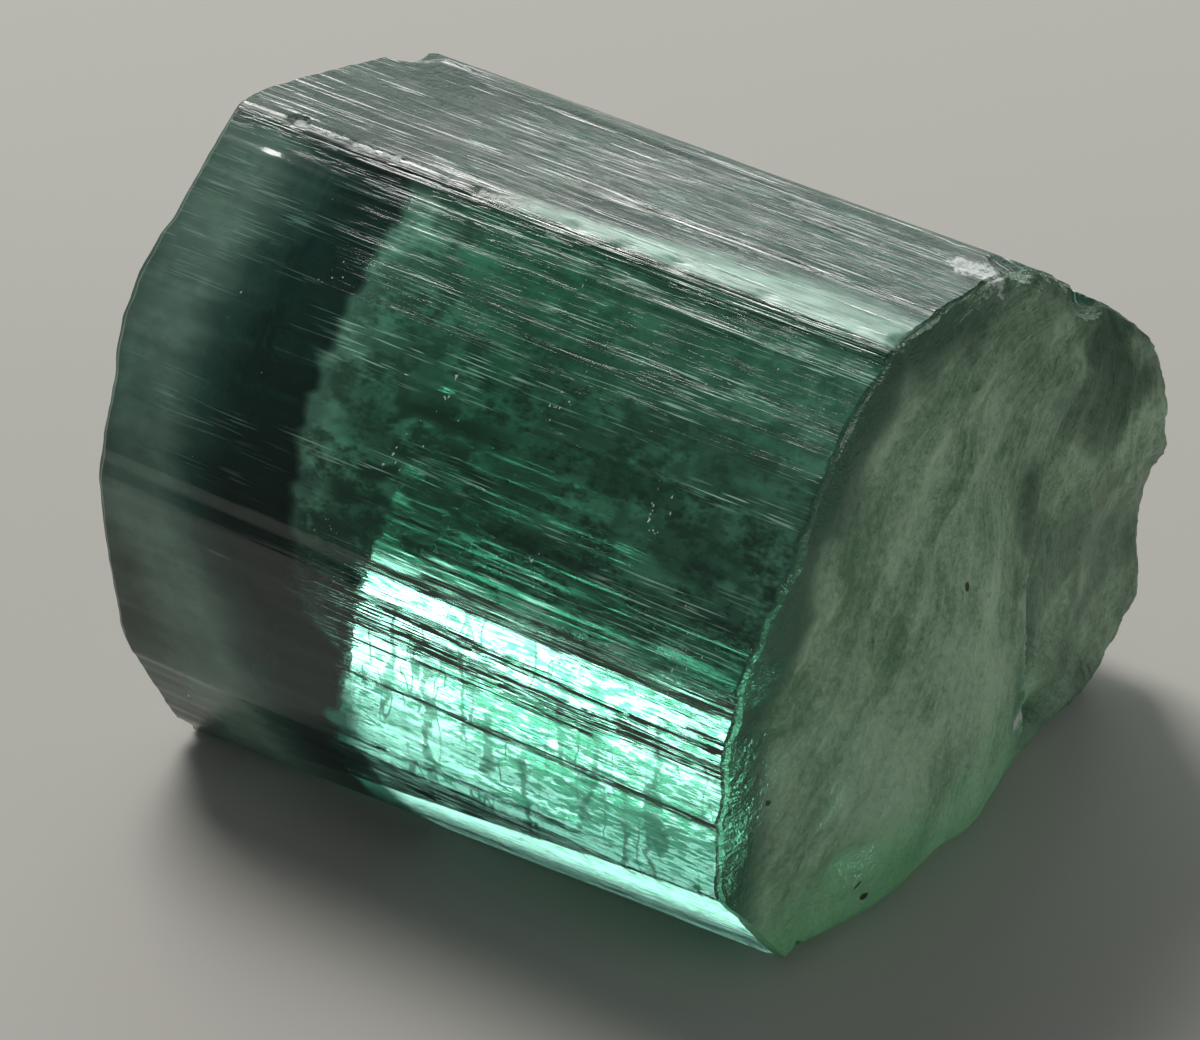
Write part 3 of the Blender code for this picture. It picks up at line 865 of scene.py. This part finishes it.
def break_marks(points):
    """The break's tones: a dark rim and painted shade under the top and by the step, pale and
    dry, painted light green low down; and its shards.
    """
    y, z = points[..., 1], points[..., 2]
    inside = depth_inside(y, z)
    rim = depth_inside(y, z, FRONT_FACES) + 0.35 * table_noise(y / 1.1, z / 1.1, 41)
    # Painted shade by the front rim, under the top front edge, along the step and past it;
    # also darker near the upper outline and in a blotchy shoulder high at the back.
    dark = smooth_step(1.15, 0.35, rim)
    under_top = smooth_step(1.3, 0.3, HEIGHT - z + 0.3 * table_noise(y / 0.7, z / 0.7, 43))
    dark = np.maximum(dark, 0.9 * under_top * smooth_step(3.0, 0.0, y))
    blots = layered(y / 1.1, z / 1.6, 45, 4)
    shoulder = smooth_step(0.30, 0.62, blots) * hump(y, z, *DARK_SHOULDER)
    dark = np.maximum(dark, 0.85 * shoulder)
    dark = np.maximum(dark, 0.6 * smooth_step(0.5, 0.1, inside) * smooth_step(6.0, 10.0, z))
    shade = bell(near_path(y + 0.45, z, STEP_LINE), 0.32)
    dark = np.maximum(dark, 0.75 * shade * smooth_step(0.25, 0.5, blots))
    behind = smooth_step(-0.05, 0.35, past_step(y, z)) * smooth_step(7.2, 5.2, z)
    dark = np.maximum(dark, 0.60 * behind * smooth_step(0.20, 0.60, blots))
    # Painted light: the lower break, and one spot, painted lit green as if light shone out
    # from inside.
    low = smooth_step(3.4, 0.6, z + 0.5 * table_noise(y / 0.9, z / 0.9, 47))
    low = np.maximum(low * smooth_step(4.5, 1.5, y), hump(y, z, *PAINTED_LIGHT_SPOT))
    turn = fan_turn(y, z, RIDGE_SETS[1][-1])
    reach = from_source(y, z)
    tone = 0.55 * layered(turn * 9.0, reach / 2.4, 81, 5)
    tone = tone + 0.45 * layered(y / 0.8, z / 1.2, 87, 5) + forms(y, z, TONE_FORMS)
    for path, width, more in HACKLES:
        away = near_path(y, z, path) + 0.12 * table_noise(y / 0.3, z / 0.3, 48)
        tone = tone + more * bell(away, width)
    shards = bell(near_path(y, z, STEP_LINE), 0.13) * (z < 7.3)
    shards = shards * smooth_step(0.46, 0.58, layered(y / 0.3, z / 0.25, 49, 3))
    for centre, reach_there, strength in PALE_SPOTS:
        shards = np.maximum(shards, strength * hump(y, z, centre, reach_there))
    nearest = np.argmin([np.hypot(y - a, z - b) / size for (a, b), size in PITS], axis=0)
    pits = np.array([(a, b, size) for (a, b), size in PITS])[nearest]
    tones = {
        "rim": dark,
        "lit": low,
        "tone": tone,
        "fan": turn,
        "reach": reach,
        "pit y": y - pits[..., 0],
        "pit z": z - pits[..., 1],
        "pit size": pits[..., 2],
    }
    return tones, shards


# ---------------------------------------------------------------- the piece


def closed_faces(rings, count):
    """Quads between rings of count points each, and triangles that close both ends."""
    index = np.arange(count)
    after = (index + 1) % count
    faces = []
    for ring in range(rings - 1):
        here, there = ring * count, (ring + 1) * count
        quads = np.stack([here + index, there + index, there + after, here + after], -1)
        faces += [tuple(quad) for quad in quads.tolist()]
    last = (rings - 1) * count
    low_end, high_end = rings * count, rings * count + 1
    faces += [(low_end, a, b) for a, b in zip(index.tolist(), after.tolist())]
    faces += [(high_end, last + b, last + a) for a, b in zip(index.tolist(), after.tolist())]
    return faces


def end_middle(ring, relief):
    """The point that closes an end, from its innermost ring."""
    middle = ring.mean(axis=0)
    middle[0] = relief(middle[1:2], middle[2:3])[0]
    return middle


def write_marks(mesh, marks):
    """Writes each three of the marks as one attribute."""
    for names in MARKS:
        packed = np.stack([marks[name] for name in names], -1)
        layer = mesh.attributes.new(" ".join(names), "FLOAT_VECTOR", "POINT")
        layer.data.foreach_set("vector", packed.astype(np.float32).ravel())


def crystal_mesh():
    """The crystal's closed surface, with the marks that its finish reads."""
    points, columns = crystal_points()
    bitten = bite_chips(points, CHIPS)
    nicked = bite_chips(points, edge_nicks(random.Random(NICK_SEED)))
    points[..., 2] = np.maximum(points[..., 2], 0.0)
    ends = [end_middle(points[0], left_relief), end_middle(points[-1], break_relief)]
    verts = np.concatenate([points.reshape(-1, 3), ends]) - (*MIDDLE, 0.0)
    mesh = bpy.data.meshes.new("crystal")
    mesh.from_pydata((verts * MM).tolist(), [], closed_faces(*points.shape[:2]))
    mesh.validate()
    mesh.shade_smooth()
    mesh.set_sharp_from_angle(angle=math.radians(SHARP_ANGLE))
    write_marks(mesh, crystal_marks(points, columns, bitten, nicked))
    return mesh


def crystal_marks(points, columns, bitten, nicked):
    """The marks of each point of the rings, then of the two that close the ends."""
    rings, count = points.shape[:2]
    first_break = LEFT_RINGS - 1 + SIDE_RINGS
    break_tones, shards = break_marks(points)
    on_break = (np.arange(rings) >= first_break)[:, None]
    frost = np.maximum(np.maximum(0.35 * bitten, 0.8 * nicked), 0.9 * shards * on_break)
    line, glow = edge_frost(points, columns)
    broken = np.clip(np.repeat(np.arange(rings), count) - first_break + 2.0, 0.0, 1.0)
    marks = {
        "broken": np.append(broken, [0.0, 1.0]),
        "frost": np.append(np.maximum(frost, line).ravel(), [0.0, 0.0]),
        "glow": np.append(glow.ravel(), [0.0, 0.0]),
    }
    for name, values in side_marks(points, columns).items():
        marks[name] = np.append(values.ravel(), [values[0].mean(), values[-1].mean()])
    for name, values in break_tones.items():
        marks[name] = np.append(values.ravel(), [0.0, values[-1].mean()])
    return marks


def add_piece(name, mesh, material):
    """Puts a piece in the scene in the place of the solid."""
    piece = bpy.data.objects.new(name, mesh)
    bpy.context.scene.collection.objects.link(piece)
    mesh.materials.append(material)
    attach(piece, BODY)
    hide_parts(NODE)


# ---------------------------------------------------------------- shader writing


class Wire:
    """A shader socket that can be used in sums, as numbers are."""

    def __init__(self, sheet, socket):
        self.sheet, self.socket = sheet, socket

    def maths(self, operation, *values):
        settings = {"operation": operation}
        return self.sheet.node("ShaderNodeMath", settings, dict(enumerate(values)))

    def __add__(self, other):
        return self.maths("ADD", self, other)

    def __mul__(self, other):
        return self.maths("MULTIPLY", self, other)

    __radd__, __rmul__ = __add__, __mul__

    def __sub__(self, other):
        return self.maths("SUBTRACT", self, other)

    def __rsub__(self, other):
        return self.maths("SUBTRACT", other, self)

    def __truediv__(self, other):
        return self.maths("DIVIDE", self, other)

    def __rtruediv__(self, other):
        return self.maths("DIVIDE", other, self)

    def __abs__(self):
        return self.maths("ABSOLUTE", self)

    def most(self, other):
        return self.maths("MAXIMUM", self, other)

    def rise(self, low, high):
        """0 below low, 1 above high, smooth between."""
        settings = {"interpolation_type": "SMOOTHSTEP"}
        sockets = {"Value": self, "From Min": low, "From Max": high}
        return self.sheet.node("ShaderNodeMapRange", settings, sockets)


class Sheet:
    """One material's shader tree."""

    def __init__(self, name):
        self.material = bpy.data.materials.new(name)
        self.material.use_nodes = True
        self.tree = self.material.node_tree
        self.tree.nodes.clear()
        self.marks = {}

    def node(self, kind, settings, sockets, output=0):
        """Adds a node and sets its settings, then its sockets, by place or by name."""
        made = self.tree.nodes.new(kind)
        for key, value in settings.items():
            if key == "stops":
                self.set_stops(made.color_ramp.elements, value)
            else:
                setattr(made, key, value)
        for slot, value in sockets.items():
            self.feed(made.inputs[slot], value)
        return Wire(self, made.outputs[output]) if made.outputs else None

    @staticmethod
    def set_stops(elements, stops):
        elements.remove(elements[-1])
        for number, (place, colour) in enumerate(stops):
            element = elements[0] if number == 0 else elements.new(place)
            element.position = place
            element.color = (*colour, 1.0)

    def feed(self, socket, value):
        if isinstance(value, Wire):
            self.tree.links.new(value.socket, socket)
        elif socket.type == "RGBA":
            socket.default_value = (*value, 1.0)
        else:
            socket.default_value = value

    def ramp(self, place, stops):
        """A colour for each place along stops of (place, colour)."""
        return self.node("ShaderNodeValToRGB", {"stops": stops}, {0: place})

    def mix(self, share, first, second):
        """One colour over another."""
        sockets = {0: share, 6: first, 7: second}
        return self.node("ShaderNodeMix", {"data_type": "RGBA"}, sockets, output=2)

    def over(self, share, first, second):
        """One finish over another."""
        return self.node("ShaderNodeMixShader", {}, {0: share, 1: first, 2: second})

    def apart(self, vector):
        """A vector's three numbers."""
        first = self.node("ShaderNodeSeparateXYZ", {}, {0: vector})
        return [Wire(self, socket) for socket in first.socket.node.outputs]

    def place(self):
        """The piece's own coordinates in millimetres, apart."""
        spot = self.node("ShaderNodeTexCoord", {}, {}, output="Object")
        sockets = {0: spot, "Scale": 1.0 / MM}
        return self.apart(self.node("ShaderNodeVectorMath", {"operation": "SCALE"}, sockets))

    def mark(self, name):
        """One of the mesh's marks."""
        names = next(names for names in MARKS if name in names)
        if names not in self.marks:
            settings = {"attribute_name": " ".join(names)}
            packed = self.node("ShaderNodeAttribute", settings, {}, output="Vector")
            self.marks[names] = self.apart(packed)
        return self.marks[names][names.index(name)]

    def grain(self, x, y, z, scale, detail, roughness):
        """Noise between 0 and 1 at a place."""
        spot = self.node("ShaderNodeCombineXYZ", {}, {0: x, 1: y, 2: z})
        sockets = {"Vector": spot, "Scale": scale, "Detail": detail, "Roughness": roughness}
        return self.node("ShaderNodeTexNoise", {}, sockets)

    def bump(self, height, strength, distance):
        """A normal from a height; distance is in millimetres."""
        sockets = {"Strength": strength, "Distance": distance * MM, "Height": height}
        return self.node("ShaderNodeBump", {}, sockets)

    def principled(self, colour, normal, roughness, clearness=0.0):
        """The crystal's substance; clearness is how much light it lets through."""
        sockets = {
            "Base Color": colour,
            "Roughness": roughness,
            "IOR": CRYSTAL_IOR,
            "Transmission Weight": clearness,
            "Normal": normal,
        }
        return self.node("ShaderNodeBsdfPrincipled", {}, sockets)

    def finish(self, **parts):
        """Ends the tree with its surface, and its volume where it has one."""
        self.node("ShaderNodeOutputMaterial", {}, parts)
        return self.material


# ---------------------------------------------------------------- finishes


def side_noises(sheet):
    """Noises over the sides, by name."""
    noises = {}
    for name, (along_by, across_by, place, *look) in SIDE_NOISES.items():
        along, across = sheet.mark("along") * along_by, sheet.mark("across") * across_by
        noises[name] = sheet.grain(along, across, place, *look)
    return noises


def crack_share(sheet, bend, murk):
    """Thin dark cracks: winding ones all over, and those with their own places."""
    winding = 1.0 - abs(bend - 0.5).rise(0.004, 0.018)
    away = abs(sheet.mark("crack x") + bend * 1.3 + murk * 0.7 - 1.0)
    placed = (1.0 - away.rise(0.05, 0.15)) * sheet.mark("crack in")
    return (winding * sheet.mark("crack gain")).most(placed)


def band_colour(sheet, dashes, runs, murk):
    """Where light from behind shines out low on the front: short bright lengths."""
    passed = dashes * 1.8 + runs * 0.5 + murk * 0.5 + sheet.mark("bright gain") * 0.25
    return sheet.mix(1.0 - passed.rise(1.44, 1.60), BAND_BRIGHT, BAND_DARK)


def side_colours(sheet, noises):
    """Colours of the light that passes and of the cloud within, and the cloud's share."""
    runs, murk = noises["runs"], noises["murk"]
    passing, cloud = [
        sheet.ramp(sheet.mark("zone"), [(zone[0] / ZONE_SPAN, zone[part]) for zone in ZONES])
        for part in (1, 2)
    ]
    lines = noises["hair"].rise(0.58, 0.70) * (runs + sheet.mark("bundle")).rise(0.60, 0.80)
    lines = lines * sheet.mark("line gain")
    # Inclusions, and painted shade across the front's middle.
    passing = sheet.mix(sheet.mark("tint dark"), passing, INCLUSION_AND_SHADE)
    passing = sheet.mix(lines, passing, LINE_PASSING)
    band = band_colour(sheet, noises["dashes"], runs, murk)
    passing = sheet.mix(sheet.mark("foot"), passing, band)
    passing = sheet.mix(sheet.mark("bare"), passing, BARE)
    passing = sheet.mix(crack_share(sheet, noises["bend"], murk), passing, CRACK)

    deep = sheet.mix(DEEP_SHARE, cloud, DEEP_CLOUD)
    shade = (1.0 - murk.rise(0.38, 0.60) * sheet.mark("murky")).most(sheet.mark("dark"))
    cloud = sheet.mix(shade * sheet.mark("shade gain"), cloud, deep)
    # Painted glints: random flecks and the listed specks, painted near-white in the cloud.
    glint = (noises["flecks"] + sheet.mark("specks")).rise(0.79, 0.84)
    cloud = sheet.mix(lines, cloud, PALE_LINE)
    cloud = sheet.mix(glint, cloud, PAINTED_GLINT)
    share = sheet.mark("haze") + lines * sheet.mark("line haze") + glint * 0.9
    return passing, cloud, share


def break_finish(sheet, grit):
    """The dull, rough break, with a darker glassy rim, painted shade, painted light green low
    down, and a few dark pits.
    """
    fan, reach = sheet.mark("fan"), sheet.mark("reach")
    around_by, out_by, *look = FEATHER_NOISE
    feather = sheet.grain(fan * around_by, reach * out_by, *look)
    normal = sheet.bump(grit + feather * 0.8, strength=0.9, distance=0.10)
    rim, lit, tone = sheet.mark("rim"), sheet.mark("lit"), sheet.mark("tone")
    dry = (tone * 0.40 + grit * 0.34 + feather * 0.26).rise(0.33, 0.66)
    dry = sheet.mix(dry, BREAK_DARK, BREAK_PALE)
    # Painted light: the lower break painted lit green from inside.
    dry = sheet.mix(lit * 0.6, dry, BREAK_PAINTED_LIGHT)
    # Painted shade: darker at the rim, under the top and by the step.
    dry = sheet.mix(rim * 0.9, dry, BREAK_PAINTED_SHADE)
    pit_y, pit_z, pit_size = sheet.mark("pit y"), sheet.mark("pit z"), sheet.mark("pit size")
    away = (pit_y * pit_y + pit_z * pit_z) / (pit_size * pit_size) + grit
    dry = sheet.mix(away.rise(2.0, 1.0), dry, PIT)
    dull = sheet.principled(dry, normal, roughness=0.55, clearness=0.2)
    glassy = sheet.principled(RIM_GLASS, normal, roughness=0.25, clearness=1.0)
    return sheet.over(rim * 0.4, dull, glassy), normal


def tourmaline_finish():
    """Clear zoned crystal: striated glassy sides and a duller, rougher break."""
    sheet = Sheet("tourmaline")
    noises = side_noises(sheet)
    striae, murk = noises["striae"], noises["murk"]
    passing, cloud, share = side_colours(sheet, noises)
    groove = abs(striae - 0.5).rise(0.0, 0.022)
    relief = (striae + groove * 0.10) * sheet.mark("striae")
    side_normal = sheet.bump(relief, strength=0.6, distance=0.05)
    top_roughness = sheet.mark("gloss") * (striae * 0.8 - 0.22)
    clear = sheet.principled(passing, side_normal, top_roughness, clearness=1.0)
    cloudy = sheet.principled(cloud, side_normal, roughness=0.16)
    sides = sheet.over(share, clear, cloudy)

    grit = sheet.grain(*sheet.place(), *GRIT_NOISE)
    end_normal = sheet.bump(grit, strength=0.35, distance=0.06)
    end_clear = sheet.principled(passing, end_normal, roughness=0.12, clearness=1.0)
    end_cloudy = sheet.principled(cloud, end_normal, roughness=0.35)
    left_end = sheet.over(share, end_clear, end_cloudy)
    broken_end, break_normal = break_finish(sheet, grit)

    frosted = sheet.principled(FROST, break_normal, roughness=0.5)
    painted_glowing = sheet.principled(PAINTED_GLOW, side_normal, roughness=0.4)
    rind = sheet.principled(PAINTED_TOP_SHADE, break_normal, roughness=0.7)
    frost = sheet.mark("frost")
    # Painted shade: a dark dull film on the top's back edge and its left.
    surface = sheet.over(sheet.mark("rind") * striae.rise(0.34, 0.54), sides, rind)
    surface = sheet.over(sheet.mark("left"), surface, left_end)
    # Painted light: a mint glow painted under the top front edge.
    glow = sheet.mark("glow") * (striae * 0.5 + murk * 0.5).rise(0.27, 0.53)
    surface = sheet.over(glow, surface, painted_glowing)
    surface = sheet.over(sheet.mark("broken"), surface, broken_end)
    crumbly = (frost + (grit - 0.5) * 1.3).rise(0.34, 0.70) * frost.rise(0.02, 0.2)
    surface = sheet.over(crumbly, surface, frosted)
    absorption = {"Color": ABSORPTION, "Density": ABSORPTION_DENSITY}
    volume = sheet.node("ShaderNodeVolumeAbsorption", {}, absorption)
    return sheet.finish(Surface=surface, Volume=volume)


# ---------------------------------------------------------------- floor, lights, camera


FLOOR_HALF = 1.2
FLOOR_LEVEL = -0.05 * MM  # a hair below the crystal, so that air lies between them
FLOOR_COLOUR = (0.60, 0.58, 0.54)
FLOOR_ROUGHNESS = 0.9
PANELS = (  # name, azimuth, elevation, distance, size, brightness, colour
    ("back panel", -36, 31, 0.40, (0.30, 0.16), 1.12, (0.80, 1.0, 0.95)),
    ("low back panel", -33, 6.5, 0.40, (0.30, 0.10), 4.3, (1.0, 1.0, 1.0)),
    ("key", -60, 46, 0.40, (0.16, 0.16), 14.0, (1.0, 0.985, 0.95)),
    ("right fill", 80, 14, 0.45, (0.25, 0.20), 1.3, (0.97, 0.98, 1.0)),
)
WORLD_COLOUR = (0.86, 0.90, 0.92)
WORLD_STRENGTH = 0.12


def floor():
    """A plain pale floor that isn't part of the object."""
    mesh = bpy.data.meshes.new("floor")
    signs = ((-1, -1), (1, -1), (1, 1), (-1, 1))
    corners = [(a * FLOOR_HALF, b * FLOOR_HALF, FLOOR_LEVEL) for a, b in signs]
    mesh.from_pydata(corners, [], [(0, 1, 2, 3)])
    piece = bpy.data.objects.new("floor", mesh)
    bpy.context.scene.collection.objects.link(piece)
    sheet = Sheet("pale floor")
    look = {"Base Color": FLOOR_COLOUR, "Roughness": FLOOR_ROUGHNESS}
    plain = sheet.node("ShaderNodeBsdfPrincipled", {}, look)
    mesh.materials.append(sheet.finish(Surface=plain))


def panel(name, azimuth, elevation, distance, size, brightness, colour):
    """A soft panel of light that faces the crystal; brightness is its radiance."""
    a, e = math.radians(azimuth), math.radians(elevation)
    way = Vector((math.sin(a) * math.cos(e), math.cos(a) * math.cos(e), math.sin(e)))
    light = bpy.data.lights.new(name, "AREA")
    light.shape = "RECTANGLE"
    light.size, light.size_y = size
    light.energy = brightness * math.pi * size[0] * size[1]
    light.color = colour
    lamp = bpy.data.objects.new(name, light)
    lamp.location = way * distance + Vector((0, 0, HEIGHT / 2 * MM))
    lamp.rotation_mode = "QUATERNION"
    lamp.rotation_quaternion = way.to_track_quat("Z", "Y")
    bpy.context.scene.collection.objects.link(lamp)


def lights():
    """Soft panels and a dim world. Azimuth 0 is behind the crystal, positive towards +X."""
    for values in PANELS:
        panel(*values)
    world = bpy.data.worlds.new("studio")
    bpy.context.scene.world = world
    world.use_nodes = True
    back = world.node_tree.nodes["Background"]
    back.inputs["Color"].default_value = (*WORLD_COLOUR, 1.0)
    back.inputs["Strength"].default_value = WORLD_STRENGTH


CAMERA_AZIMUTH = 36.0
CAMERA_ELEVATION = 32.6
CAMERA_DISTANCE = 115.0
CAMERA_LENS = 172.5
CAMERA_SENSOR = 36.0
CAMERA_REACH = (0.01, 10.0)  # metres
AIM = (-1.175, 0.87, 5.65)  # the point that the angles are about
AIM_OFFSET = (-0.248, -1.894)  # right and up, from there to the middle of the picture


def camera():
    """Looks down at the crystal's front and its broken end."""
    a, e = math.radians(CAMERA_AZIMUTH), math.radians(CAMERA_ELEVATION)
    back = Vector((math.sin(a) * math.cos(e), -math.cos(a) * math.cos(e), math.sin(e)))
    right = Vector((math.cos(a), math.sin(a), 0.0))
    up = back.cross(right)
    eye = Vector(AIM) + back * CAMERA_DISTANCE
    target = Vector(AIM) + right * AIM_OFFSET[0] + up * AIM_OFFSET[1]
    data = bpy.data.cameras.new("camera")
    data.lens = CAMERA_LENS
    data.sensor_width = CAMERA_SENSOR
    data.clip_start, data.clip_end = CAMERA_REACH
    made = bpy.data.objects.new("camera", data)
    made.location = eye * MM
    made.rotation_mode = "QUATERNION"
    made.rotation_quaternion = (target - eye).to_track_quat("-Z", "Y")
    bpy.context.scene.collection.objects.link(made)
    bpy.context.scene.camera = made


bpy.context.scene.view_settings.view_transform = "Standard"
add_piece("clear_crystal", crystal_mesh(), tourmaline_finish())
floor()
lights()
camera()
